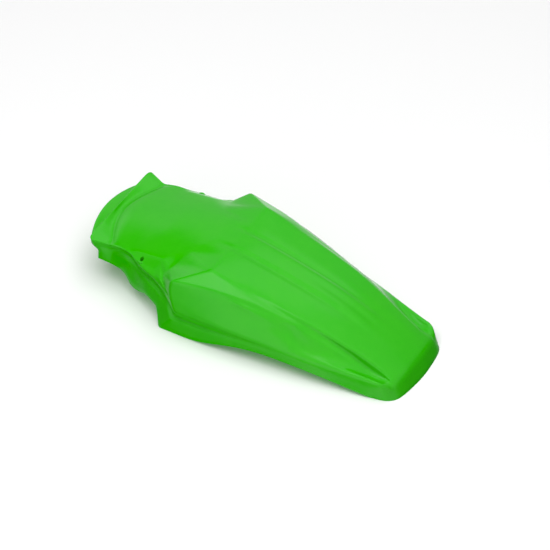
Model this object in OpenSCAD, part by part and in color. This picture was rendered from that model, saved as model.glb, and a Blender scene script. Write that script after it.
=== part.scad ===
/* [Overall] */
// Length of the tail part, from the deck's front edge to the rear rim
tail_length = 366.5; // [340:0.5:390]
// Length of the seat part, from the deck's front edge to the front bulkhead
seat_length = 242; // [225:1:260]
// Height of the deck's front edge above the ground that the fender rests on
deck_height = 141; // [136:1:148]
// Thickness of the moulded wall
wall = 2.6; // [2:0.1:3]

/* [Deck] */
// Width of the raised deck at its front edge
deck_front_width = 182; // [174:1:190]
// Width of the raised deck where it ends, ahead of the rear lip
deck_rear_width = 121; // [116:1:126]
// Height of the deck's side edge halfway to the wings
deck_mid_height = 93; // [88:1:96]
// Height of the deck's side edge where it ends
deck_rear_height = 49; // [46:1:52]
// How far the deck rises from its side edges to its middle
deck_crown = 8; // [4:1:12]
// Distance of each groove from the middle of the deck
groove_offset = 27; // [24:1:29]
// Width of each groove
groove_width = 24; // [18:1:26]
// Depth of the two grooves at the wings
groove_depth = 5; // [0:0.5:7]

/* [Rear lip] */
// Width of the tail across its rear corners
tail_width = 186; // [180:1:192]
// Height of the lip that turns down at the rear rim
lip_height = 31; // [28:1:34]
// How far the lip leans back from its upper bend to the rim
lip_reach = 14.5; // [11:0.5:18]
// Height of the side walls' tops at the rear corners
corner_height = 37; // [34:1:40]

/* [Wings] */
// Width across the wings at their lower front corners
wing_width = 276; // [270:1:284]
// Width across the shoulders on top of the wings
shoulder_width = 256; // [250:1:262]
// Height of the shoulders at the wings' front edges
shoulder_height = 118; // [114:1:122]
// Height of the wings' lower edges
wing_edge_height = 58; // [54:1:62]
// How far the flanges below the wings are tucked in
tuck = 8; // [6:1:10]
// Height of the small outward ledge along each flange
flange_ledge_height = 32; // [29:1:35]

/* [Seat part] */
// Width across the side rims at the front bulkhead
front_width = 198; // [192:1:204]
// Height of the front bulkhead's straight top edge
bulkhead_height = 105; // [102:1:108]
// Height of the sheet at the bulkhead's foot and on the tongue in front of it
floor_height = 90; // [87:1:93]
// Height of the wheel tunnel's crown above the bolt holes
crown_height = 124; // [120:1:127]
// Width of the wheel tunnel's arch between the sloping shoulders
tunnel_width = 176; // [172:1:180]
// Height of the arch's side edges above the bolt holes
arch_side_height = 111; // [108:1:114]
// Width across the folded side edges below the bolt holes
fold_width = 212; // [208:1:216]
// Height of the folded side edges below the bolt holes
fold_height = 94; // [91:1:97]
// How far the front tongue reaches past the bulkhead
tongue_reach = 27; // [22:1:30]

/* [Bolt holes] */
// Distance between the two bolt holes
bolt_spacing = 190; // [186:1:194]
// Diameter of each bolt hole
bolt_hole = 6.6; // [5.5:0.1:7]
// Diameter of the round boss at each bolt hole
bolt_boss = 14; // [12:1:16]
// Height of the round boss at each bolt hole
bolt_boss_height = 10; // [8:1:12]

/* [Hidden] */

fender_length = tail_length + seat_length + tongue_reach;
bulkhead = tail_length + seat_length;
deck_half = deck_front_width / 2;
rear_half = deck_rear_width / 2;
tail_half = tail_width / 2;
wing_half = wing_width / 2;
shoulder_half = shoulder_width / 2;
front_half = front_width / 2;
arch_half = tunnel_width / 2;
fold_half = fold_width / 2;

function lerp(a, b, t) = a + (b - a) * t;

// Distance ahead of the rear rim, as a share of the tail part or of the seat part
function tail(share) = share * tail_length;
function seat(share) = tail_length + share * seat_length;

// The deck's half profile: the spine, a groove and the side edge
function deck(ahead, half, height, rise, groove) = [
    [ahead, 0, height + rise],
    [ahead, groove_offset - groove_width / 2, height + 0.95 * rise],
    [ahead, groove_offset, height + 0.85 * rise - groove],
    [ahead, groove_offset + 0.6 * groove_width, height + 0.68 * rise],
    [ahead, half, height]
];

// The wheel tunnel's half profile: an arch from its crown out to its side edge
arch_shares = [0, 0.2, 0.41, 0.61, 0.84, 1];
function arch(ahead_middle, ahead_side, half, crown, side, power = 2) = [for (s = arch_shares)
    [lerp(ahead_middle, ahead_side, pow(s, power)), s * half, lerp(crown, side, pow(s, power))]];

// Half profiles from the middle outwards, from the rear rim to the front tongue.
// Each point is its distance ahead of the rear rim, its distance from the middle and its height.
rear_rim = [
    [0, 0, 0], [0.5, 16, 0], [1.5, 27, 0], [3, 42, 0], [6, tail_half - 32, 0],
    [10, tail_half - 21, 0], [17, tail_half - 13.5, 0], [24, tail_half - 9, 0],
    [31, tail_half - 6.5, 0], [36, tail_half - 5, 0], [42, tail_half - 4, 0], [47, tail_half - 3.5, 0]
];
lip_bend = [
    [lip_reach, 0, lip_height], [lip_reach, 16, lip_height], [lip_reach, 27, lip_height - 0.5],
    [lip_reach + 1, 42, lip_height - 2], [lip_reach + 4, tail_half - 33, lip_height - 4],
    [lip_reach + 8, tail_half - 23, lip_height - 3.5], [lip_reach + 12, tail_half - 14, corner_height - 5],
    [lip_reach + 18, tail_half - 8, corner_height - 1], [lip_reach + 22, tail_half - 5, corner_height - 5],
    [lip_reach + 25, tail_half - 4, corner_height - 13], [lip_reach + 28, tail_half - 3, corner_height - 24],
    [lip_reach + 34, tail_half - 2, 1]
];
deck_end = concat(
    deck(tail(0.156), rear_half, deck_rear_height, deck_crown - 1, 0.2 * groove_depth),
    [[tail(0.156), rear_half + 10, deck_rear_height - 20],
    [tail(0.158), rear_half + 18, deck_rear_height - 19], [tail(0.16), tail_half - 5, corner_height + 4],
    [tail(0.163), tail_half - 1, corner_height + 1], [tail(0.164), tail_half, corner_height - 8],
    [tail(0.166), tail_half + 1, corner_height - 18], [tail(0.17), tail_half + 3, 5]]
);
tail_mid = concat(
    deck(tail(0.425), lerp(rear_half, deck_half, 0.46), deck_mid_height, deck_crown, 0.5 * groove_depth),
    [[tail(0.425), 82, deck_mid_height - 9], [tail(0.425), 98, deck_mid_height - 27],
    [tail(0.425), 109.5, 52], [tail(0.425), 113, 43], [tail(0.425), 113, 37], [tail(0.425), 113, 31],
    [tail(0.425), 113, 24]]
);
wing_end = concat(
    deck(tail(0.67), lerp(rear_half, deck_half, 0.74), 116, deck_crown, 0.85 * groove_depth),
    [[tail(0.67), shoulder_half - 30, 103.5], [tail(0.67), shoulder_half - 20, 87],
    [tail(0.67), wing_half - 17, wing_edge_height + 8], [tail(0.67), wing_half - 13, wing_edge_height - 2],
    [tail(0.68), wing_half - 12.5, 50], [tail(0.7), wing_half - 12, 42], [tail(0.74), wing_half - 11.5, 32.5]]
);
wing_mid = concat(
    deck(tail(0.926), deck_half - 1, deck_height - 5, 4, groove_depth),
    [[tail(0.926), shoulder_half - 15.5, shoulder_height + 3.5], [tail(0.926), wing_half - 15.5, 98],
    [tail(0.926), wing_half - 6, wing_edge_height + 14], [tail(0.926), wing_half - 2, wing_edge_height + 4],
    [tail(0.93), wing_half - 1 - tuck, wing_edge_height - 10],
    [tail(0.96), wing_half + 1 - tuck, flange_ledge_height + 3], [tail(1.02), wing_half + 1.5 - tuck, 1.5]]
);
wing_front = concat(
    deck(tail_length, deck_half, deck_height, 0, 0.2 * groove_depth),
    [[seat(0.235), shoulder_half + 1, shoulder_height + 0.5],
    [seat(0.24), wing_half - 5, shoulder_height - 18],
    [seat(0.22), wing_half - 2, wing_edge_height + 22], [seat(0.19), wing_half, wing_edge_height],
    [seat(0.203), wing_half - tuck, wing_edge_height - 12],
    [seat(0.228), wing_half + 1 - tuck, flange_ledge_height], [seat(0.333), wing_half + 2 - tuck, 0]]
);
facet_foot = [
    [seat(0.136), 0, deck_height - 2], [seat(0.14), 12, deck_height - 2], [seat(0.16), 27, deck_height - 3],
    [seat(0.2), 45, deck_height - 6], [seat(0.29), arch_half - 16, crown_height],
    [seat(0.325), arch_half + 14, crown_height - 16], [seat(0.36), arch_half + 21, crown_height - 27],
    [seat(0.345), shoulder_half - 9, 96], [seat(0.31), shoulder_half - 3, 84],
    [seat(0.29), shoulder_half - 10, 66], [seat(0.29), shoulder_half - 3, 50],
    [seat(0.362), shoulder_half - 3, 24]
];
riser_foot = concat(
    arch(seat(0.36), seat(0.4), arch_half, crown_height + 8, arch_side_height + 4.5),
    [[seat(0.405), fold_half - 11, 108], [seat(0.417), fold_half - 2, 99],
    [seat(0.435), fold_half + 6, 90], [seat(0.4), fold_half + 1, 74], [seat(0.387), fold_half + 8, 60],
    [seat(0.389), fold_half + 13, 33]]
);
shoulder = concat(
    arch(seat(0.5), seat(0.5), arch_half, crown_height + 3, arch_side_height + 1),
    [[seat(0.5), fold_half - 11, 105], [seat(0.5), fold_half - 4, fold_height + 4],
    [seat(0.5), fold_half + 3, fold_height - 2.5], [seat(0.495), fold_half - 6, 77],
    [seat(0.49), fold_half - 1, 62], [seat(0.495), fold_half + 4, 40]]
);
bolt_step = concat(
    arch(seat(0.59), seat(0.59), arch_half - 2, crown_height - 2, arch_side_height - 1.5),
    [[seat(0.59), fold_half - 14, 105], [seat(0.59), fold_half - 8.5, fold_height + 6.5],
    [seat(0.59), fold_half - 3.5, fold_height + 2], [seat(0.585), fold_half - 13, 80],
    [seat(0.58), fold_half - 9, 58], [seat(0.585), fold_half - 6, 27.5]]
);
tunnel_mid = concat(
    arch(seat(0.665), seat(0.665), arch_half - 4, crown_height - 6, arch_side_height - 5),
    [[seat(0.665), front_half - 11.5, 105], [seat(0.665), front_half - 8.5, 104],
    [seat(0.665), front_half - 6, 103], [seat(0.655), front_half - 14, 88],
    [seat(0.655), front_half - 10, 66], [seat(0.655), front_half - 4, 26]]
);
tunnel_front = concat(
    arch(seat(0.76), seat(0.75), arch_half - 6, crown_height - 11, arch_side_height - 7),
    [[seat(0.75), front_half - 13, 103.5], [seat(0.75), front_half - 10, 103],
    [seat(0.75), front_half - 7, 103.5], [seat(0.745), front_half - 13.5, 88],
    [seat(0.745), front_half - 13, 75], [seat(0.745), front_half - 12, 47]]
);
tunnel_mouth = concat(
    arch(bulkhead - 19, bulkhead - 42, arch_half - 5, floor_height + 12, floor_height + 9),
    [[bulkhead - 42, front_half - 13, 98.5], [bulkhead - 42, front_half - 11, 98],
    [bulkhead - 42, front_half - 9, 99], [bulkhead - 41, front_half - 13, 87],
    [bulkhead - 41, front_half - 13, 72], [bulkhead - 41, front_half - 13, 49]]
);
bulkhead_foot = concat(
    arch(bulkhead - 1.5, bulkhead - 31, arch_half - 12, floor_height, floor_height + 1, 1.6),
    [[bulkhead - 33, front_half - 16, floor_height + 4], [bulkhead - 34, front_half - 11.5, floor_height + 6],
    [bulkhead - 35, front_half - 9.5, floor_height + 7], [bulkhead - 31, front_half - 12, 87],
    [bulkhead - 31, front_half - 12, 72], [bulkhead - 31, front_half - 13, 50]]
);
bulkhead_top = [
    [bulkhead, 0, bulkhead_height], [bulkhead, 16, bulkhead_height], [bulkhead, 32, bulkhead_height],
    [bulkhead, 48, bulkhead_height], [bulkhead, 64, bulkhead_height], [bulkhead, 76, bulkhead_height],
    [bulkhead, front_half - 11, bulkhead_height], [bulkhead - 1, front_half - 4, bulkhead_height - 1],
    [bulkhead - 5, front_half, bulkhead_height - 3], [bulkhead - 16, front_half - 7, 85],
    [bulkhead - 21, front_half - 10, 70], [bulkhead - 17, front_half - 12, 51]
];
tongue_root = concat(
    arch(bulkhead + 3, bulkhead + 4, arch_half - 12, floor_height + 3, floor_height - 2),
    [[bulkhead + 2, front_half - 14, 87], [bulkhead - 1, front_half - 8, 88],
    [bulkhead - 6, front_half - 5, 86],
    [bulkhead - 12, front_half - 8, 79], [bulkhead - 17, front_half - 10, 73],
    [bulkhead - 13, front_half - 12, 51]]
);
tongue_edge = concat(
    arch(bulkhead + tongue_reach, bulkhead + 9, arch_half - 12, floor_height, floor_height - 5),
    [[bulkhead + 4, front_half - 14, 84], [bulkhead, front_half - 9, 84],
    [bulkhead - 5, front_half - 9, 80], [bulkhead - 10, front_half - 10, 76],
    [bulkhead - 13, front_half - 11, 71], [bulkhead - 11, front_half - 12.5, 51]]
);

profiles = [
    rear_rim, lip_bend, deck_end, tail_mid, wing_end, wing_mid, wing_front, facet_foot, riser_foot,
    shoulder, bolt_step, tunnel_mid, tunnel_front, tunnel_mouth, bulkhead_foot, bulkhead_top,
    tongue_root, tongue_edge
];

// How far the rounding of each profile's corner reaches along the fender
long_reach = [0, 9, 40, 50, 50, 25, 5, 6, 6, 9, 9, 9, 12, 9, 5, 2, 2, 0];
// How far the rounding of each profile point reaches across the fender, from the middle outwards
crisp_reach = [8, 6, 7, 7, 5, 6, 12, 6, 5, 5, 3, 0];
round_reach = [20, 20, 20, 20, 14, 5, 5, 5, 4, 5, 4, 0];
crisp_profiles = [2, 3, 4, 5, 6, 15];
function is_crisp(i) = len(search(i, crisp_profiles)) > 0;

// Steps that draw each rounding: the flanges and the inner corners of the arch need fewer
long_steps = [for (i = profiles) 2];
cross_steps = [1, 2, 2, 2, 2, 2, 1, 1, 1, 1, 1, 1];

function mirrored_points(half) = concat(
    [for (i = [len(half) - 1:-1:1]) [half[i].x, -half[i].y, half[i].z]], half);
function mirrored_values(half) = concat([for (i = [len(half) - 1:-1:1]) half[i]], half);

// A path with its inner corners rounded by curves that reach the given distances
most_reach = 0.47;
function toward(a, b, reach) = lerp(a, b, min(most_reach, reach / norm(b - a)));
function curve(a, b, c, t) = lerp(lerp(a, b, t), lerp(b, c, t), t);
function rounded(path, reach, steps) = concat(
    [path[0]],
    [for (i = [1:len(path) - 2])
        let (start = toward(path[i], path[i - 1], reach[i]), end = toward(path[i], path[i + 1], reach[i]))
        for (k = [0:steps[i]]) curve(start, path[i], end, k / steps[i])],
    [path[len(path) - 1]]
);

// A skin through the profiles: rounded across the fender, then along it
function skin_through(profiles) = let (
    outlines = [for (i = [0:len(profiles) - 1])
        rounded(mirrored_points(profiles[i]), mirrored_values(is_crisp(i) ? crisp_reach : round_reach),
            mirrored_values(cross_steps))],
    lines = [for (j = [0:len(outlines[0]) - 1])
        rounded([for (outline = outlines) outline[j]], long_reach, long_steps)]
)
    [for (i = [0:len(lines[0]) - 1])
        [for (line = lines) [fender_length / 2 - line[i].x, line[i].y, line[i].z]]];

// The inner skin lies one wall below the deck and one wall inside the flanges and the lip
inward_share = [0, 0, 0, 0, 0.05, 0.15, 0.35, 0.5, 0.75, 1, 1, 1];
function inward(i, j) = i == 0
    ? [1, -inward_share[j], 0]
    : [i == 1 ? 0.7 : 0, -min(1, 2 * inward_share[j]), -min(1, 2 - 2 * inward_share[j])];
function offset_profile(i) = [for (j = [0:11]) profiles[i][j] + wall * inward(i, j)];

// It passes straight under the narrow side rims and under the bulkhead's top
rim_profiles = [1, 2, 14, 15, 16, 17];
function is_rim(i, j) = len(search(i, rim_profiles)) > 0 && j > 5 && j < 9;
function under_rims(i) = let (profile = offset_profile(i))
    [for (j = [0:11]) is_rim(i, j) ? lerp(profile[5], profile[9], (j - 5) / 4) : profile[j]];
inner_profiles = [for (i = [0:len(profiles) - 1])
    i == 15 ? lerp(under_rims(14), under_rims(16), 0.5) : under_rims(i)];

skin = skin_through(profiles);
inner_skin = skin_through(inner_profiles);
rows = len(skin);
columns = len(skin[0]);

function quad(a, b, c, d) = [[a, b, c], [a, c, d]];

module shell() {
    count = rows * columns;
    points = concat([for (row = skin) each row], [for (row = inner_skin) each row]);
    skins = [for (i = [0:rows - 2]) for (j = [0:columns - 2])
        let (a = i * columns + j, b = a + 1, c = b + columns, d = a + columns)
        each concat(quad(a, d, c, b), quad(count + a, count + b, count + c, count + d))];
    rear_and_front = [for (j = [0:columns - 2])
        let (a = j, b = (rows - 1) * columns + j)
        each concat(quad(a, a + 1, count + a + 1, count + a), quad(b, count + b, count + b + 1, b + 1))];
    left_and_right = [for (i = [0:rows - 2])
        let (a = i * columns, b = a + columns - 1)
        each concat(quad(a, count + a, count + a + columns, a + columns),
            quad(b, b + columns, count + b + columns, count + b))];
    polyhedron(points, concat(skins, rear_and_front, left_and_right));
}

// The bolt holes pass through round bosses on the shoulders beside the tunnel
boss_ahead = seat(0.56);
boss_top = fold_height + 6;

module at_bolts() {
    for (side = [-1, 1])
        translate([fender_length / 2 - boss_ahead, side * bolt_spacing / 2, boss_top - bolt_boss_height])
            children();
}

module rear_fender() {
    color([0.27, 0.76, 0.19])
    difference() {
        union() {
            shell();
            at_bolts() cylinder(d = bolt_boss, h = bolt_boss_height, $fn = 32);
        }
        at_bolts() translate([0, 0, -10]) cylinder(d = bolt_hole, h = bolt_boss_height + 30, $fn = 32);
    }
}

rear_fender();
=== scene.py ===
"""Moulded rear fender of an off-road motorcycle: a lofted plastic shell in a pale studio."""

import math
from types import SimpleNamespace

import bpy
from bpy.props import FloatProperty, FloatVectorProperty, PointerProperty
from mathutils import Matrix, Vector


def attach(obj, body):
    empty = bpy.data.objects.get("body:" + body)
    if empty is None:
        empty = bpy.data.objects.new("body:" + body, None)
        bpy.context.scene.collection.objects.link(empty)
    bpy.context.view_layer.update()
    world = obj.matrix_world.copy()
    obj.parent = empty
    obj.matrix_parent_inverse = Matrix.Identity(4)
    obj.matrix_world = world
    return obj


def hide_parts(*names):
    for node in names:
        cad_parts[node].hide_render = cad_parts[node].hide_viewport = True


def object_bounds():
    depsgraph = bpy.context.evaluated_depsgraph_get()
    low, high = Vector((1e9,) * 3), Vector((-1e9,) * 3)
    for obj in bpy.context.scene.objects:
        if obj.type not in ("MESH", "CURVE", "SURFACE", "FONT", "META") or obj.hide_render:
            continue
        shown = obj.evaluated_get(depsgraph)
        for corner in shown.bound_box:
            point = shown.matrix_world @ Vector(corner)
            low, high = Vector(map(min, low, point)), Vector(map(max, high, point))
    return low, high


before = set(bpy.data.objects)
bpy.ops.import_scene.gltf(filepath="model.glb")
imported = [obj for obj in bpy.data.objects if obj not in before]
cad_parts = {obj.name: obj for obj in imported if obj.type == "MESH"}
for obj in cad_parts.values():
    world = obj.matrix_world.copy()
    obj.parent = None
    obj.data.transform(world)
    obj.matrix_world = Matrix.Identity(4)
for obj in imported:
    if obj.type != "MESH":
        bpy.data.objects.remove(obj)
CAD_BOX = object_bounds()

bl_info = {
    "name": "Motorcycle Rear Fender",
    "version": (1, 0, 0),
    "blender": (4, 5, 0),
    "location": "View3D > Sidebar > Fender",
    "description": "Builds a moulded rear fender, its plastic and a small photo studio",
    "category": "Add Mesh",
}

BODY = "root"
CAD_NODE = "rear_fender"
MATERIAL_SLOT = "fender_plastic"
MILLIMETRES = 1000
PHOTO_SIZE = 550


# Sizes and colours

class FenderSizes(bpy.types.PropertyGroup):
    """Sizes of the moulded shell"""

    tail_length: FloatProperty(
        name="Tail length", default=0.3665, unit="LENGTH",
        description="From the deck's front edge to the rear rim")
    seat_length: FloatProperty(
        name="Seat length", default=0.242, unit="LENGTH",
        description="From the deck's front edge to the front bulkhead")
    tongue_reach: FloatProperty(
        name="Tongue reach", default=0.027, unit="LENGTH",
        description="How far the front tongue reaches past the bulkhead")
    wall: FloatProperty(
        name="Wall", default=0.0026, unit="LENGTH",
        description="Thickness of the moulded wall")
    deck_height: FloatProperty(
        name="Deck height", default=0.1409, unit="LENGTH",
        description="Height of the deck's front edge above the ground")
    deck_front_width: FloatProperty(
        name="Deck front width", default=0.182, unit="LENGTH",
        description="Width of the raised deck at its front edge")
    deck_rear_width: FloatProperty(
        name="Deck rear width", default=0.121, unit="LENGTH",
        description="Width of the raised deck where it ends, ahead of the rear lip")
    deck_mid_height: FloatProperty(
        name="Deck middle height", default=0.093, unit="LENGTH",
        description="Height of the deck's side edge halfway to the wings")
    deck_rear_height: FloatProperty(
        name="Deck rear height", default=0.049, unit="LENGTH",
        description="Height of the deck's side edge where it ends")
    deck_crown: FloatProperty(
        name="Deck crown", default=0.008, unit="LENGTH",
        description="How far the deck rises from its side edges to its middle")
    groove_offset: FloatProperty(
        name="Groove offset", default=0.027, unit="LENGTH",
        description="Distance of each groove from the middle of the deck")
    groove_width: FloatProperty(
        name="Groove width", default=0.024, unit="LENGTH",
        description="Width of each groove")
    groove_depth: FloatProperty(
        name="Groove depth", default=0.005, unit="LENGTH",
        description="Depth of the two grooves at the wings")
    tail_width: FloatProperty(
        name="Tail width", default=0.186, unit="LENGTH",
        description="Width of the tail across its rear corners")
    lip_height: FloatProperty(
        name="Lip height", default=0.031, unit="LENGTH",
        description="Height of the lip that turns down at the rear rim")
    lip_reach: FloatProperty(
        name="Lip reach", default=0.0145, unit="LENGTH",
        description="How far the lip leans back from its upper bend to the rim")
    corner_height: FloatProperty(
        name="Corner height", default=0.037, unit="LENGTH",
        description="Height of the side walls' tops at the rear corners")
    wing_width: FloatProperty(
        name="Wing width", default=0.2758, unit="LENGTH",
        description="Width across the wings at their lower front corners")
    shoulder_width: FloatProperty(
        name="Shoulder width", default=0.256, unit="LENGTH",
        description="Width across the shoulders on top of the wings")
    shoulder_height: FloatProperty(
        name="Shoulder height", default=0.118, unit="LENGTH",
        description="Height of the shoulders at the wings' front edges")
    wing_edge_height: FloatProperty(
        name="Wing edge height", default=0.058, unit="LENGTH",
        description="Height of the wings' lower edges")
    tuck: FloatProperty(
        name="Tuck", default=0.008, unit="LENGTH",
        description="How far the flanges below the wings are tucked in")
    flange_ledge_height: FloatProperty(
        name="Flange ledge height", default=0.032, unit="LENGTH",
        description="Height of the small outward ledge along each flange")
    front_width: FloatProperty(
        name="Front width", default=0.198, unit="LENGTH",
        description="Width across the side rims at the front bulkhead")
    bulkhead_height: FloatProperty(
        name="Bulkhead height", default=0.105, unit="LENGTH",
        description="Height of the front bulkhead's straight top edge")
    floor_height: FloatProperty(
        name="Floor height", default=0.090, unit="LENGTH",
        description="Height of the sheet at the bulkhead's foot and on the tongue")
    crown_height: FloatProperty(
        name="Crown height", default=0.124, unit="LENGTH",
        description="Height of the wheel tunnel's crown above the bolt holes")
    tunnel_width: FloatProperty(
        name="Tunnel width", default=0.176, unit="LENGTH",
        description="Width of the wheel tunnel's arch between the sloping shoulders")
    arch_side_height: FloatProperty(
        name="Arch side height", default=0.111, unit="LENGTH",
        description="Height of the arch's side edges above the bolt holes")
    fold_width: FloatProperty(
        name="Fold width", default=0.212, unit="LENGTH",
        description="Width across the folded side edges below the bolt holes")
    fold_height: FloatProperty(
        name="Fold height", default=0.094, unit="LENGTH",
        description="Height of the folded side edges below the bolt holes")
    bolt_spacing: FloatProperty(
        name="Bolt spacing", default=0.190, unit="LENGTH",
        description="Distance between the two bolt holes")
    bolt_hole: FloatProperty(
        name="Bolt hole", default=0.0066, unit="LENGTH",
        description="Diameter of each bolt hole")
    bolt_boss: FloatProperty(
        name="Bolt boss", default=0.014, unit="LENGTH",
        description="Diameter of the round boss at each bolt hole")
    bolt_boss_height: FloatProperty(
        name="Bolt boss height", default=0.010, unit="LENGTH",
        description="Height of the round boss at each bolt hole")


class FenderPlastic(bpy.types.PropertyGroup):
    """Colour and finish of the moulded plastic"""

    colour: FloatVectorProperty(
        name="Colour", subtype="COLOR", size=3, min=0, max=1, default=(0.022, 0.440, 0.0004),
        description="Colour of the moulded plastic")
    worn_colour: FloatVectorProperty(
        name="Worn colour", subtype="COLOR", size=3, min=0, max=1, default=(0.034, 0.470, 0.003),
        description="Lighter colour where the plastic is handled and rubbed")
    roughness: FloatProperty(
        name="Roughness", default=0.18, min=0, max=1, subtype="FACTOR",
        description="Roughness of the semi-gloss surface")
    grain: FloatProperty(
        name="Grain", default=0.00035, unit="LENGTH",
        description="Distance between the finest bumps of the moulded surface")


class StudioSettings(bpy.types.PropertyGroup):
    """Camera angle and floor of the photo studio"""

    azimuth: FloatProperty(
        name="Azimuth", default=math.radians(31.4), subtype="ANGLE",
        description="Turn of the camera around the fender")
    elevation: FloatProperty(
        name="Elevation", default=math.radians(43.9), subtype="ANGLE",
        description="Height angle of the camera above the floor")
    distance: FloatProperty(
        name="Camera distance", default=10.355, unit="LENGTH",
        description="Distance of the camera from the point that it is aimed by")
    lens: FloatProperty(
        name="Lens", default=400, unit="CAMERA", min=1,
        description="Focal length of the camera's long lens")
    floor_colour: FloatVectorProperty(
        name="Floor colour", subtype="COLOR", size=3, min=0, max=1, default=(0.90, 0.90, 0.90),
        description="Colour of the pale floor")


# The form of the shell

def lerp(a, b, share):
    """The point or number at a share of the way from a to b."""
    return a + (b - a) * share


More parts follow.
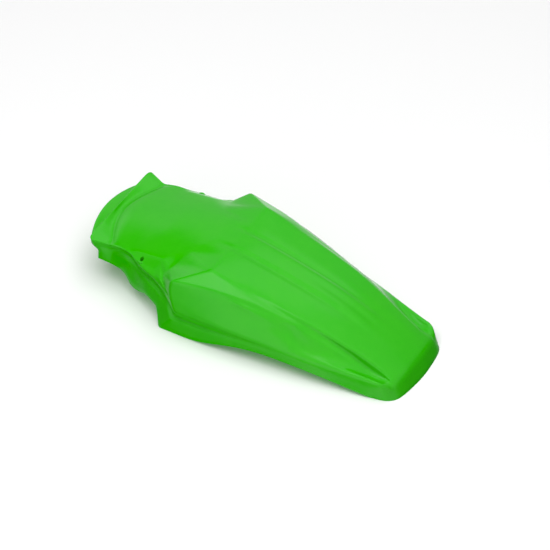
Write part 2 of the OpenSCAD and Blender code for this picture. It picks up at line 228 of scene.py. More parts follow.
class FenderForm:
    """Half profiles of the fender in millimetres, from the rear rim to the front tongue.

    Each has twelve points, from the middle of the fender out to its side rim, and a point is its
    distance ahead of the rear rim, its distance from the middle and its height. On the tail and
    the wings five points are the deck, two the step or shoulder beside it, two the wing's side
    and its lower edge, and three the flange. Along the tunnel six are the arch, three the sloping
    shoulder with its folded edge, and three the flange.
    """

    # Where an arch's points lie between its crown and its side edge
    ARCH_SHARES = (0, 0.2, 0.41, 0.61, 0.84, 1)
    # Share of the grooves' depth that is a soft dip; their cores are pressed in later
    SOFT_GROOVE = 0.25
    # How far the tongue ends short of its full reach, so that it stays inside the solid's box
    TONGUE_MARGIN = 0.2

    def __init__(self, sizes):
        self.size = SimpleNamespace(**{
            name: getattr(sizes, name) * MILLIMETRES for name in FenderSizes.__annotations__})
        self.bulkhead = self.size.tail_length + self.size.seat_length
        self.length = self.bulkhead + self.size.tongue_reach

    def tail(self, share):
        """A distance ahead of the rear rim, as a share of the tail part."""
        return share * self.size.tail_length

    def seat(self, share):
        """A distance ahead of the rear rim, as a share of the seat part."""
        return self.size.tail_length + share * self.size.seat_length

    def deck(self, ahead, half, height, rise, groove):
        """The deck's half profile: the spine, a groove and the side edge."""
        offset, width = self.size.groove_offset, self.size.groove_width
        return [
            (ahead, 0, height + rise),
            (ahead, offset - width / 2, height + 0.95 * rise),
            (ahead, offset, height + 0.85 * rise - self.SOFT_GROOVE * groove),
            (ahead, offset + 0.6 * width, height + 0.68 * rise),
            (ahead, half, height),
        ]

    def arch(self, ahead_middle, ahead_side, half, crown, side, power=2):
        """The wheel tunnel's half profile: an arch from its crown out to its side edge."""
        return [(lerp(ahead_middle, ahead_side, share ** power), share * half,
                 lerp(crown, side, share ** power)) for share in self.ARCH_SHARES]

    def profiles(self):
        """All half profiles, from the rear rim to the front tongue."""
        return (self.rear_profiles() + self.wing_profiles() + self.tunnel_profiles()
                + self.front_profiles())

    def rear_profiles(self):
        """The turned-down lip and the tail with its raised deck."""
        s, tail = self.size, self.tail
        half, lip, corner = s.tail_width / 2, s.lip_reach, s.corner_height
        rear_half, deck_half = s.deck_rear_width / 2, s.deck_front_width / 2
        rear_rim = [
            (0, 0, 0), (0.5, 16, 0), (1.5, 27, 0), (3, 42, 0), (6, half - 32, 0),
            (10, half - 21, 0), (17, half - 13.5, 0), (24, half - 9, 0), (31, half - 6.5, 0),
            (36, half - 5, 0), (42, half - 4, 0), (47, half - 3.5, 0),
        ]
        lip_bend = [
            (lip, 0, s.lip_height), (lip, 16, s.lip_height), (lip, 27, s.lip_height - 0.5),
            (lip + 1, 42, s.lip_height - 2), (lip + 4, half - 33, s.lip_height - 4),
            (lip + 8, half - 23, s.lip_height - 3.5), (lip + 12, half - 14, corner - 5),
            (lip + 18, half - 8, corner - 1), (lip + 22, half - 5, corner - 5),
            (lip + 25, half - 4, corner - 13), (lip + 28, half - 3, corner - 24),
            (lip + 34, half - 2, 1),
        ]
        deck_end = self.deck(tail(0.156), rear_half, s.deck_rear_height, s.deck_crown - 1,
                             0.2 * s.groove_depth) + [
            (tail(0.156), rear_half + 3.5, s.deck_rear_height - 20),
            (tail(0.158), rear_half + 14, s.deck_rear_height - 22),
            (tail(0.16), half - 7, corner + 3), (tail(0.163), half - 2, corner),
            (tail(0.164), half, corner - 8), (tail(0.166), half + 1, corner - 18),
            (tail(0.17), half + 3, 5),
        ]
        tail_mid = self.deck(tail(0.425), lerp(rear_half, deck_half, 0.46), s.deck_mid_height,
                             s.deck_crown, 0.5 * s.groove_depth) + [
            (tail(0.425), 82, s.deck_mid_height - 9), (tail(0.425), 98, s.deck_mid_height - 27),
            (tail(0.425), 109.5, 52), (tail(0.425), 113, 43), (tail(0.425), 113, 37),
            (tail(0.425), 113, 31), (tail(0.425), 113, 24),
        ]
        return [rear_rim, lip_bend, deck_end, tail_mid]

    def wing_profiles(self):
        """The wings with their stepped shoulders and tucked flanges."""
        s, tail, seat = self.size, self.tail, self.seat
        wing, shoulder, edge = s.wing_width / 2, s.shoulder_width / 2, s.wing_edge_height
        rear_half, deck_half = s.deck_rear_width / 2, s.deck_front_width / 2
        arch_half, ledge = s.tunnel_width / 2, s.flange_ledge_height
        wing_end = self.deck(tail(0.67), lerp(rear_half, deck_half, 0.74), 116, s.deck_crown,
                             0.85 * s.groove_depth) + [
            (tail(0.67), shoulder - 30, 103.5), (tail(0.67), shoulder - 20, 87),
            (tail(0.67), wing - 17, edge + 8), (tail(0.67), wing - 13, edge - 2),
            (tail(0.68), wing - 12.5, 50), (tail(0.7), wing - 12, 42),
            (tail(0.74), wing - 11.5, 32.5),
        ]
        wing_mid = self.deck(tail(0.926), deck_half - 1, s.deck_height - 5, 4, s.groove_depth) + [
            (tail(0.926), shoulder - 15.5, s.shoulder_height + 3.5), (tail(0.926), wing - 15.5, 98),
            (tail(0.926), wing - 6, edge + 14), (tail(0.926), wing - 2, edge + 4),
            (tail(0.93), wing - 2 - s.tuck, edge - 16), (tail(0.96), wing + 3 - s.tuck, ledge + 4),
            (tail(1.02), wing + 2 - s.tuck, 1.5),
        ]
        wing_front = self.deck(s.tail_length, deck_half, s.deck_height, 0, 0.2 * s.groove_depth) + [
            (seat(0.235), shoulder + 1, s.shoulder_height + 0.5),
            (seat(0.24), wing - 5, s.shoulder_height - 18),
            (seat(0.22), wing - 2, edge + 22), (seat(0.19), wing, edge),
            (seat(0.203), wing - 1.5 - s.tuck, edge - 19),
            (seat(0.228), wing + 5.5 - s.tuck, ledge + 2), (seat(0.333), wing + 3 - s.tuck, 0),
        ]
        facet_foot = [
            (seat(0.136), 0, s.deck_height - 2), (seat(0.14), 12, s.deck_height - 2),
            (seat(0.16), 27, s.deck_height - 3), (seat(0.2), 45, s.deck_height - 6),
            (seat(0.29), arch_half - 16, s.crown_height),
            (seat(0.325), arch_half + 14, s.crown_height - 16),
            (seat(0.36), arch_half + 21, s.crown_height - 27), (seat(0.345), shoulder - 9, 96),
            (seat(0.31), shoulder - 3, 84), (seat(0.29), shoulder - 10, 66),
            (seat(0.29), shoulder - 3, 50), (seat(0.362), shoulder - 3, 24),
        ]
        return [wing_end, wing_mid, wing_front, facet_foot]

    def tunnel_profiles(self):
        """The arched wheel tunnel between sloping shoulders, folded edges and side flanges."""
        s, seat = self.size, self.seat
        arch_half, fold, front = s.tunnel_width / 2, s.fold_width / 2, s.front_width / 2
        crown, side, fold_height = s.crown_height, s.arch_side_height, s.fold_height
        riser_foot = self.arch(seat(0.36), seat(0.4), arch_half, crown + 8, side + 4.5) + [
            (seat(0.405), fold - 11, 108), (seat(0.417), fold - 2, 99),
            (seat(0.435), fold + 6, 91.5), (seat(0.4), fold + 1, 71),
            (seat(0.387), fold + 10, 62), (seat(0.389), fold + 13, 33),
        ]
        shoulder = self.arch(seat(0.5), seat(0.5), arch_half, crown + 3, side + 1) + [
            (seat(0.5), fold - 11, 105), (seat(0.5), fold - 4, fold_height + 4),
            (seat(0.5), fold + 3, fold_height - 1), (seat(0.495), fold - 7, 74),
            (seat(0.49), fold + 1, 66), (seat(0.495), fold + 4, 40),
        ]
        bolt_step = self.arch(seat(0.59), seat(0.59), arch_half - 2, crown - 2, side - 1.5) + [
            (seat(0.59), fold - 14, 105), (seat(0.59), fold - 8.5, fold_height + 6.5),
            (seat(0.59), fold - 3.5, fold_height + 3), (seat(0.585), fold - 14, 77),
            (seat(0.58), fold - 7, 66), (seat(0.585), fold - 6, 27.5),
        ]
        tunnel_mid = self.arch(seat(0.665), seat(0.665), arch_half - 4, crown - 6, side - 5) + [
            (seat(0.665), front - 11.5, 105), (seat(0.665), front - 8.5, 104),
            (seat(0.665), front - 6, 103), (seat(0.655), front - 15, 85),
            (seat(0.655), front - 8, 74), (seat(0.655), front - 4, 26),
        ]
        tunnel_front = self.arch(seat(0.76), seat(0.75), arch_half - 6, crown - 11, side - 7) + [
            (seat(0.75), front - 13, 103.5), (seat(0.75), front - 10, 103),
            (seat(0.75), front - 7, 103.5), (seat(0.745), front - 15, 90),
            (seat(0.745), front - 10.5, 81), (seat(0.745), front - 12, 47),
        ]
        return [riser_foot, shoulder, bolt_step, tunnel_mid, tunnel_front]

    def front_profiles(self):
        """The bulkhead that closes the tunnel and the tongue ahead of it."""
        s, wall = self.size, self.bulkhead
        arch_half, front = s.tunnel_width / 2, s.front_width / 2
        floor, top = s.floor_height, s.bulkhead_height
        tunnel_mouth = self.arch(wall - 22, wall - 44, arch_half - 5, floor + 16, floor + 11) + [
            (wall - 42, front - 13, 98.5), (wall - 42, front - 11, 98), (wall - 42, front - 9, 99),
            (wall - 41, front - 13, 87), (wall - 41, front - 13, 72), (wall - 41, front - 13, 49),
        ]
        bulkhead_foot = self.arch(wall - 5, wall - 34, arch_half - 12, floor + 7, floor + 6,
                                  power=1.6) + [
            (wall - 34, front - 16, floor + 6), (wall - 34, front - 11.5, floor + 6),
            (wall - 35, front - 9.5, floor + 7), (wall - 31, front - 12, 87),
            (wall - 31, front - 12, 72), (wall - 31, front - 13, 50),
        ]
        bulkhead_top = [(wall, aside, top) for aside in (0, 16, 32, 48, 64, 76, front - 11)] + [
            (wall - 1, front - 4, top - 1), (wall - 5, front, top - 3), (wall - 16, front - 7, 85),
            (wall - 21, front - 10, 70), (wall - 17, front - 12, 51),
        ]
        tongue_root = self.arch(wall + 3, wall + 4, arch_half - 12, floor + 3, floor - 2) + [
            (wall + 2, front - 14, 87), (wall - 1, front - 8, 88), (wall - 6, front - 5, 86),
            (wall - 12, front - 8, 79), (wall - 17, front - 10, 73), (wall - 13, front - 12, 51),
        ]
        tongue_edge = self.arch(wall + s.tongue_reach - self.TONGUE_MARGIN, wall + 9,
                                arch_half - 12, floor, floor - 5) + [
            (wall + 4, front - 14, 84), (wall, front - 9, 84), (wall - 5, front - 9, 80),
            (wall - 10, front - 10, 76), (wall - 13, front - 11, 71), (wall - 11, front - 12.5, 51),
        ]
        return [tunnel_mouth, bulkhead_foot, bulkhead_top, tongue_root, tongue_edge]


# Rounded skins through the profiles

# How many millimetres a rounding reaches along the fender at each profile, rear rim first
LONG_REACH = (0, 9, 40, 50, 50, 25, 5, 6, 6, 9, 9, 9, 17, 17, 8, 2, 2, 0)
# How many it reaches across the fender at each point of a crisp or a round half profile
CRISP_REACH = (8, 6, 7, 7, 5, 6, 12, 6, 5, 5, 3, 0)
ROUND_REACH = (20, 20, 20, 20, 14, 5, 5, 5, 4, 5, 4, 0)
# The crisp profiles: from the deck's end to its front edge, and the bulkhead's top
CRISP_PROFILES = (2, 3, 4, 5, 6, 15)
# Largest share of the way to the next point that a rounding takes up
MOST_REACH = 0.47
# Steps of each rounding and of the straight stretch before it
ROUND_STEPS = 4
STRAIGHT_STEPS = 3


def mirrored_points(half):
    """A whole profile from its half, from the -Y rim over the middle to the +Y rim."""
    return [Vector((x, -y, z)) for x, y, z in reversed(half[1:])] + [Vector(p) for p in half]


def mirrored_values(half):
    """Values for a whole profile from those of its half."""
    return list(reversed(half[1:])) + list(half)


def rounded(path, reach):
    """The path with rounded corners, whose curves reach the given distances."""
    def toward(a, b, distance):
        return a.lerp(b, min(MOST_REACH, distance / max((b - a).length, 1e-6)))

    points = [path[0]]
    for before, corner, after, distance in zip(path, path[1:], path[2:], reach[1:]):
        start, end = toward(corner, before, distance), toward(corner, after, distance)
        points += [points[-1].lerp(start, k / STRAIGHT_STEPS) for k in range(1, STRAIGHT_STEPS)]
        for k in range(ROUND_STEPS + 1):
            share = k / ROUND_STEPS
            points.append(start.lerp(corner, share).lerp(corner.lerp(end, share), share))
    last = points[-1]
    return points + [last.lerp(path[-1], k / STRAIGHT_STEPS) for k in range(1, STRAIGHT_STEPS + 1)]


def skin_through(profiles):
    """Rows of points: the profiles are rounded across the fender, then along it."""
    outlines = []
    for i, profile in enumerate(profiles):
        reach = CRISP_REACH if i in CRISP_PROFILES else ROUND_REACH
        outlines.append(rounded(mirrored_points(profile), mirrored_values(reach)))
    lines = [rounded(line, LONG_REACH) for line in zip(*outlines)]
    return [list(row) for row in zip(*lines)]


# Where a half profile's inner points lie: 0 is below the outer ones, 1 beside them, 0.5 both
INWARD_SHARES = (0, 0, 0, 0, 0.05, 0.15, 0.35, 0.5, 0.75, 1, 1, 1)
# Places of three profiles among the eighteen
REAR_RIM, LIP_BEND, BULKHEAD_TOP = 0, 1, 15
# Share of the wall by which the lip's inner bend lies ahead of its outer one
LIP_INSET = 0.7
# Profiles whose folds are solid, and the two inner points that are joined straight below them
SOLID_FOLDS = (1, 2, 14, 15, 16, 17)
FOLD_FIRST, FOLD_LAST = 5, 9


def inner_profiles(profiles, wall):
    """Profiles one wall below the deck and one wall inside the flanges and the lip."""
    def inward(i, share):
        if i == REAR_RIM:
            return Vector((1, -share, 0))
        ahead = LIP_INSET if i == LIP_BEND else 0
        return Vector((ahead, -min(1, 2 * share), -min(1, 2 - 2 * share)))

    inner = []
    for i, profile in enumerate(profiles):
        points = [Vector(point) + wall * inward(i, share)
                  for point, share in zip(profile, INWARD_SHARES)]
        if i in SOLID_FOLDS:
            first, last = points[FOLD_FIRST], points[FOLD_LAST]
            for j in range(FOLD_FIRST + 1, FOLD_LAST):
                points[j] = first.lerp(last, (j - FOLD_FIRST) / (FOLD_LAST - FOLD_FIRST))
        inner.append(points)
    # The bulkhead is solid, so the inner skin passes straight below it
    foot, root = inner[BULKHEAD_TOP - 1], inner[BULKHEAD_TOP + 1]
    inner[BULKHEAD_TOP] = [a.lerp(b, 0.5) for a, b in zip(foot, root)]
    return inner


# Each pressed line: its reach to both sides, then points (ahead, side, height, rise), all in
# millimetres; a negative rise lowers the skin
PRESSED_LINES = (
    # Cores of the deck's two grooves
    (9, ((396, 24, 139, 0), (350, 24, 138, -1.5), (250, 24, 123, -1.7), (180, 23, 105, -1.2),
         (110, 21, 80, 0))),
    # Crown of the tail's middle
    (14, ((240, 11, 123, 0), (190, 11, 108, 1.2), (120, 11, 83, 1.4), (75, 11, 64, 0))),
    # Line below the deck's side edge, which deepens towards the tail
    (9, ((340, 89, 136, 0), (300, 88, 127, -0.6), (260, 88, 116, -1), (220, 86, 105, -1.3),
         (180, 83, 92, -1.6), (140, 79, 77, -2), (100, 73, 58, -2.4), (72, 69, 40, -3),
         (58, 68, 34, 0))),
    # Lower boundary of the chamfer below the shoulder
    (6, ((355, 117, 116, 0), (333, 114, 115, -0.6), (291, 105, 112, -0.8), (246, 97, 104, -0.8),
         (225, 94, 98, 0))),
    # Edge of the shallow recess in the wing's side
    (7, ((318, 112, 113, 0), (304, 110, 109, 0.9), (270, 106, 100, 1.3), (240, 104, 90, 1.3),
         (222, 110, 74, 0.9), (214, 116, 58, 0))),
    # Hollow behind the wing
    (18, ((225, 97, 92, 0), (205, 99, 84, -3.2), (175, 105, 64, -3.8), (150, 104, 58, 0))),
)


def line_rise(place, reach, guides):
    """How far one pressed line lifts the skin at a place, or lowers it."""
    most = 0
    for (*start, low), (*end, high) in zip(guides, guides[1:]):
        start, end = Vector(start), Vector(end)
        along = end - start
        share = min(1, max(0, (place - start).dot(along) / along.length_squared))
        distance = (place - start.lerp(end, share)).length
        if distance < reach:
            rise = lerp(low, high, share) * (1 - (distance / reach) ** 2) ** 2
            most = max(most, rise, key=abs)
    return most


def pressed(rows, lines):
    """The rows with shallow grooves and ridges along the lines, on both sides of the fender."""
    def normal(i, j):
        along = rows[min(i + 1, len(rows) - 1)][j] - rows[max(i - 1, 0)][j]
        across = rows[i][min(j + 1, len(rows[0]) - 1)] - rows[i][max(j - 1, 0)]
        return along.cross(across).normalized()

    def rise(point):
        place = Vector((point.x, abs(point.y), point.z))
        return sum(line_rise(place, reach, guides) for reach, guides in lines)

    return [[point + normal(i, j) * rise(point) for j, point in enumerate(row)]
            for i, row in enumerate(rows)]


# Meshes

def mesh_object(name, points, faces):
    """A new mesh object in the scene."""
    mesh = bpy.data.meshes.new(name)
    mesh.from_pydata(points, [], faces)
    mesh.validate()
    piece = bpy.data.objects.new(name, mesh)
    bpy.context.scene.collection.objects.link(piece)
    return piece


def shell_faces(rows, columns):
    """Faces of a closed shell: the outer skin, the inner skin and the rims that join them."""
    count = rows * columns
    faces = []
    for i in range(rows - 1):
        for j in range(columns - 1):
            a = i * columns + j
            b, c, d = a + 1, a + columns + 1, a + columns
            faces += [(a, b, c, d), (count + a, count + d, count + c, count + b)]
    rim = list(range(columns))
    rim += [i * columns + columns - 1 for i in range(1, rows)]
    rim += [(rows - 1) * columns + j for j in range(columns - 2, -1, -1)]
    rim += [i * columns for i in range(rows - 2, 0, -1)]
    for a, b in zip(rim, rim[1:] + rim[:1]):
        faces.append((b, a, count + a, count + b))
    return faces


def cylinder(name, x, y, radius, low, high, segments=48):
    """A closed upright cylinder between two heights, from sizes in millimetres."""
    ring = []
    for k in range(segments):
        turn = 2 * math.pi * k / segments
        ring.append((x + radius * math.cos(turn), y + radius * math.sin(turn)))
    points = [Vector((*place, height)) / MILLIMETRES for height in (low, high) for place in ring]
    faces = [tuple(range(segments - 1, -1, -1)), tuple(range(segments, 2 * segments))]
    for k in range(segments):
        after = (k + 1) % segments
        faces.append((k, after, segments + after, segments + k))
    return mesh_object(name, points, faces)


def apply_modifiers(piece):
    """Replaces the piece's mesh by the one that its modifiers make."""
    graph = bpy.context.evaluated_depsgraph_get()
    mesh = bpy.data.meshes.new_from_object(piece.evaluated_get(graph))
    piece.modifiers.clear()
    piece.data = mesh


def combine(piece, tool, operation):
    """Adds a tool's solid to the piece or cuts it away, and removes the tool."""
    modifier = piece.modifiers.new(operation.title(), "BOOLEAN")
    modifier.operation = operation
    modifier.solver = "EXACT"
    modifier.object = tool
    apply_modifiers(piece)
    bpy.data.objects.remove(tool)


# Materials

class Value:
    """A number socket of a node tree that is worked with in Python expressions."""

    def __init__(self, tree, socket):
        self.tree = tree
        self.socket = socket

    def math(self, operation, *numbers):
        """The result of a Math node on the given numbers."""
        node = self.tree.nodes.new("ShaderNodeMath")
        node.operation = operation
        for slot, number in zip(node.inputs, numbers):
            if isinstance(number, Value):
                self.tree.links.new(number.socket, slot)
            else:
                slot.default_value = number
        return Value(self.tree, node.outputs[0])

    def clamped(self):
        """The same number, kept between 0 and 1."""
        return self.math("MINIMUM", self.math("MAXIMUM", self, 0), 1)

    def __add__(self, other):
        return self.math("ADD", self, other)

    def __sub__(self, other):
        return self.math("SUBTRACT", self, other)

    def __rsub__(self, other):
        return self.math("SUBTRACT", other, self)

    def __mul__(self, other):
        return self.math("MULTIPLY", self, other)

    __radd__ = __add__
    __rmul__ = __mul__


class Nodes:
    """Makes and joins the nodes of one tree."""

    def __init__(self, tree):
        self.tree = tree

    def node(self, kind, settings, values, output=0):
        """A node with its settings, then its sockets' values or links; returns one output."""
        node = self.tree.nodes.new(kind)
        for name, setting in settings.items():
            setattr(node, name, setting)
        for name, value in values.items():
            self.join(node.inputs[name], value)
        return Value(self.tree, node.outputs[output])

    def join(self, slot, value):
        """Links a value to a socket, or sets the socket to a number or colour."""
        if isinstance(value, Value):
            self.tree.links.new(value.socket, slot)
        else:
            slot.default_value = value


class Finish(Nodes):
    """A material that is built from nodes."""

    def __init__(self, name):
        self.material = bpy.data.materials.new(name)
        self.material.use_nodes = True
        super().__init__(self.material.node_tree)
        self.surface = self.tree.nodes["Principled BSDF"]

    def noise(self, place, scale, detail=2):
        """Soft noise from 0 to 1 around 0.5."""
        return self.node("ShaderNodeTexNoise", {}, {
            "Vector": place, "Scale": scale, "Detail": detail})

    def mix(self, share, first, second):
        """A colour between two colours."""
        # Inputs 6 and 7 and output 2 are the node's colour sockets
        return self.node("ShaderNodeMix", {"data_type": "RGBA"},
                         {0: share, 6: first, 7: second}, output=2)

    def bump(self, height, strength, distance, below=None):
        """A normal that is tilted by a height, on top of the bump below it if there is one."""
        values = {"Strength": strength, "Distance": distance, "Height": height}
        if below:
            values["Normal"] = below
        return self.node("ShaderNodeBump", {}, values, output="Normal")


# Noises of the plastic in repeats per metre, and how much the first two vary its roughness
CLOUDS, MOTTLES, RIPPLES = 9, 70, 35
CLOUD_ROUGHNESS, MOTTLE_ROUGHNESS = 0.08, 0.10
# Share of the worn colour at the noises' middle, and how sharply rubbed places stand out
RUBBED_SHARE, RUBBED_CONTRAST = 0.25, 2.2


def moulded_plastic(look):
    """Semi-gloss moulded plastic: a fine grain, faint ripples and lighter rubbed places."""
    finish = Finish(MATERIAL_SLOT)
    place = finish.node("ShaderNodeTexCoord", {}, {}, output="Object")
    clouds = finish.noise(place, CLOUDS, detail=3)
    mottles = finish.noise(place, MOTTLES, detail=4)
    rubbed = (clouds * 0.7 + mottles * 0.3 - 0.5) * RUBBED_CONTRAST + RUBBED_SHARE
    colour = finish.mix(rubbed.clamped(), (*look.colour, 1), (*look.worn_colour, 1))
    least = look.roughness - (CLOUD_ROUGHNESS + MOTTLE_ROUGHNESS) / 2
    roughness = mottles * MOTTLE_ROUGHNESS + clouds * CLOUD_ROUGHNESS + least
    grain = finish.bump(finish.noise(place, 1 / look.grain), strength=0.06, distance=0.0002)
    uneven = finish.bump(finish.noise(place, RIPPLES), strength=0.10, distance=0.0012, below=grain)
    finish.join(finish.surface.inputs["Base Color"], colour)
    finish.join(finish.surface.inputs["Roughness"], roughness)
    finish.join(finish.surface.inputs["Normal"], uneven)
    return finish.material


def floor_paint(colour):
    """Plain pale matt paint."""
    finish = Finish("studio_floor")
    finish.surface.inputs["Base Color"].default_value = (*colour, 1)
    finish.surface.inputs["Roughness"].default_value = 0.9
    finish.surface.inputs["Specular IOR Level"].default_value = 0.1
    return finish.material


def direction(turn, height):
    """The unit vector at a turn around the fender and a height angle, both in degrees."""
    turn, height = math.radians(turn), math.radians(height)
    return Vector((math.cos(turn) * math.cos(height), math.sin(turn) * math.cos(height),
                   math.sin(height)))


# A panel has its full strength up to the first share of its reach, and ends at the second
PANEL_CORE, PANEL_END = 0.7, 1.3


def studio_air(air, panels):
    """White air all around, with soft lighter and darker panels that the plastic reflects."""
    world = bpy.data.worlds.new("studio_air")
    world.use_nodes = True
    tools = Nodes(world.node_tree)
    place = tools.node("ShaderNodeTexCoord", {}, {}, output="Generated")
    brightness = air
    for turn, height, reach, change in panels:
        along = tools.node("ShaderNodeVectorMath", {"operation": "DOT_PRODUCT"},
                           {0: place, 1: direction(turn, height)}, output="Value")
        inside = tools.node("ShaderNodeMapRange", {"interpolation_type": "SMOOTHSTEP"}, {
            "Value": along, "From Min": math.cos(math.radians(PANEL_END * reach)),
            "From Max": math.cos(math.radians(PANEL_CORE * reach))})
        brightness = inside * change + brightness
    background = world.node_tree.nodes["Background"]
    background.inputs["Color"].default_value = (1, 1, 1, 1)
    tools.join(background.inputs["Strength"], brightness)
    return world


# Operators

class FENDER_OT_shell(bpy.types.Operator):
    """Build the moulded shell with its bolt bosses and its plastic"""

    bl_idname = "fender.shell"
    bl_label = "Moulded Shell"

    # Where the bosses stand, as a share of the seat part
    BOSS_SHARE = 0.56
    # Millimetres that they rise above the folded edges, and that the bores go on below them
    BOSS_RISE = 6
    BORE_REACH = 0.5
    # Width of the rims' rounding in metres
    RIM_ROUNDING = 0.0007
    RIM_SEGMENTS = 2
    # Degrees from which an edge is rounded as a rim, and from which it is shaded sharp
    RIM_ANGLE = 60
    SHARP_ANGLE = 32

    def execute(self, context):
        form = FenderForm(context.scene.fender_sizes)
        profiles = form.profiles()
        outer, inner = [pressed(skin_through(points), PRESSED_LINES)
                        for points in (profiles, inner_profiles(profiles, form.size.wall))]
        points = [Vector((form.length / 2 - p.x, p.y, p.z)) / MILLIMETRES
                  for skin in (outer, inner) for row in skin for p in row]
        shell = mesh_object("fender_shell", points, shell_faces(len(outer), len(outer[0])))
        self.round_rims(shell)
        self.add_bosses(shell, form)

        shell.data.polygons.foreach_set("use_smooth", [True] * len(shell.data.polygons))
        shell.data.set_sharp_from_angle(angle=math.radians(self.SHARP_ANGLE))
        shell.data.materials.clear()
        shell.data.materials.append(moulded_plastic(context.scene.fender_plastic))
        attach(shell, BODY)
        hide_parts(CAD_NODE)
        return {"FINISHED"}

    def round_rims(self, shell):
        """Takes the sharp edges off the rims."""
        bevel = shell.modifiers.new("Rounded rims", "BEVEL")
        bevel.width = self.RIM_ROUNDING
        bevel.segments = self.RIM_SEGMENTS
        bevel.limit_method = "ANGLE"
        bevel.angle_limit = math.radians(self.RIM_ANGLE)
        apply_modifiers(shell)

    def add_bosses(self, shell, form):
        """Adds a round boss and a bolt hole on each shoulder beside the tunnel."""
        size = form.size
        x = form.length / 2 - form.seat(self.BOSS_SHARE)
        top = size.fold_height + self.BOSS_RISE
        foot, above = top - size.bolt_boss_height, top + size.bolt_boss_height
        for side in (-1, 1):
            y = side * size.bolt_spacing / 2
            boss = cylinder("boss", x, y, size.bolt_boss / 2, foot, top)
            combine(shell, boss, "UNION")
            bore = cylinder("bore", x, y, size.bolt_hole / 2, foot - self.BORE_REACH, above)
            combine(shell, bore, "DIFFERENCE")


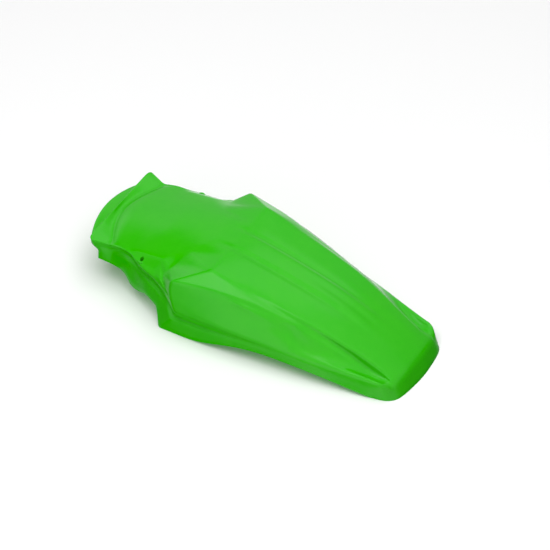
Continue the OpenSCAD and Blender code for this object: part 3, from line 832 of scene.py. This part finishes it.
class FENDER_OT_stage(bpy.types.Operator):
    """Set up the floor, the soft lights and the camera"""

    bl_idname = "fender.stage"
    bl_label = "Studio"

    # Half the floor's side and its gap below the fender, in metres
    FLOOR_HALF = 12
    FLOOR_GAP = 0.0002
    # The ground point under the lip, 6.5 mm ahead of the rear rim, is seen at this pixel
    AIM_AHEAD = 0.0065
    AIM_PIXEL = (420, 375)
    # Width of the camera's sensor in millimetres, and how many metres away it still sees
    SENSOR = 36
    FARTHEST_SEEN = 60
    # Each fill light's name, direction (turn, height angle) and power
    LIGHTS = (
        ("top_softbox", -60, 80, 83),
        ("front_softbox", -85, 10, 18),
        ("floor_bounce", -90, -58, 60),
    )
    # Side of each light and its distance from the origin, in metres
    LIGHT_SIZE = 3.0
    LIGHT_DISTANCE = 3.0
    # Brightness of the air, and each panel's direction (turn, height angle), reach and change
    AIR = 0.50
    PANELS = (
        (90, 57, 11, 0.48),
        (-97, 59, 12, 1.15),
        (-92, 4, 14, 0.32),
        (-118, 32, 14, -0.32),
        (60, 30, 18, -0.20),
        (161, 50, 18, -0.46),
        (-155, 40, 24, -0.25),
        (-142, -18, 30, -0.46),
        (-125, -50, 14, -0.26),
        (38, -8, 32, -0.46),
        (105, 0, 15, 0.36),
        (132, 30, 16, 0.06),
        (152, 27, 9, 0.40),
        (-93, -27, 10, -0.44),
        (121, -28, 20, 0.60),
        (0, -90, 36, -0.42),
    )

    def execute(self, context):
        settings = context.scene.fender_studio
        context.scene.world = studio_air(self.AIR, self.PANELS)
        context.scene.view_settings.view_transform = "Standard"
        self.add_floor(settings)
        self.add_lights(context)
        self.add_camera(context, settings)
        return {"FINISHED"}

    def add_floor(self, settings):
        """Adds a floor that only the camera sees."""
        half = self.FLOOR_HALF
        floor = mesh_object("floor", [(-half, -half, 0), (half, -half, 0), (half, half, 0),
                                      (-half, half, 0)], [(0, 1, 2, 3)])
        floor.location.z = CAD_BOX[0][2] - self.FLOOR_GAP
        floor.data.materials.append(floor_paint(settings.floor_colour))
        # Light and panels from below reach the fender as if there were no floor
        floor.visible_diffuse = False
        floor.visible_glossy = False
        floor.visible_shadow = False

    def add_lights(self, context):
        """Adds the fill lights, which the plastic doesn't mirror."""
        for name, turn, height, power in self.LIGHTS:
            light = bpy.data.lights.new(name, "AREA")
            light.shape = "SQUARE"
            light.size = self.LIGHT_SIZE
            light.energy = power
            lamp = bpy.data.objects.new(name, light)
            lamp.visible_glossy = False
            way = direction(turn, height)
            lamp.location = way * self.LIGHT_DISTANCE
            lamp.rotation_euler = way.to_track_quat("Z", "Y").to_euler()
            context.scene.collection.objects.link(lamp)

    def add_camera(self, context, settings):
        """Adds the camera at the photo's angle."""
        turn, height, distance = settings.azimuth, settings.elevation, settings.distance
        back = direction(math.degrees(turn) - 90, math.degrees(height))
        right = Vector((math.cos(turn), math.sin(turn), 0))
        up = back.cross(right)
        focal = settings.lens / self.SENSOR * PHOTO_SIZE
        aside, down = [(pixel - PHOTO_SIZE / 2) / focal * distance for pixel in self.AIM_PIXEL]
        aim = Vector((CAD_BOX[1][0] - self.AIM_AHEAD, 0, CAD_BOX[0][2]))
        data = bpy.data.cameras.new("photo_camera")
        data.lens = settings.lens
        data.sensor_width = self.SENSOR
        data.clip_end = self.FARTHEST_SEEN
        camera = bpy.data.objects.new("photo_camera", data)
        place = Matrix.Translation(aim + back * distance - right * aside + up * down)
        camera.matrix_world = place @ Matrix((right, up, back)).transposed().to_4x4()
        context.scene.collection.objects.link(camera)
        context.scene.camera = camera


class FENDER_PT_panel(bpy.types.Panel):
    """Sizes, plastic and studio of the fender"""

    bl_idname = "FENDER_PT_panel"
    bl_label = "Rear Fender"
    bl_space_type = "VIEW_3D"
    bl_region_type = "UI"
    bl_category = "Fender"

    def draw(self, context):
        scene = context.scene
        for group in (scene.fender_sizes, scene.fender_plastic, scene.fender_studio):
            box = self.layout.box()
            for name in group.__annotations__:
                box.prop(group, name)
        self.layout.operator(FENDER_OT_shell.bl_idname)
        self.layout.operator(FENDER_OT_stage.bl_idname)


CLASSES = (FenderSizes, FenderPlastic, StudioSettings, FENDER_OT_shell, FENDER_OT_stage,
           FENDER_PT_panel)


def register():
    """Registers the classes and adds their settings to the scene."""
    for cls in CLASSES:
        bpy.utils.register_class(cls)
    bpy.types.Scene.fender_sizes = PointerProperty(type=FenderSizes)
    bpy.types.Scene.fender_plastic = PointerProperty(type=FenderPlastic)
    bpy.types.Scene.fender_studio = PointerProperty(type=StudioSettings)


def unregister():
    """Removes the settings and the classes."""
    del bpy.types.Scene.fender_studio
    del bpy.types.Scene.fender_plastic
    del bpy.types.Scene.fender_sizes
    for cls in reversed(CLASSES):
        bpy.utils.unregister_class(cls)


def main():
    """Builds the fender and its studio."""
    register()
    bpy.ops.fender.shell()
    bpy.ops.fender.stage()


if __name__ == "__main__":
    main()
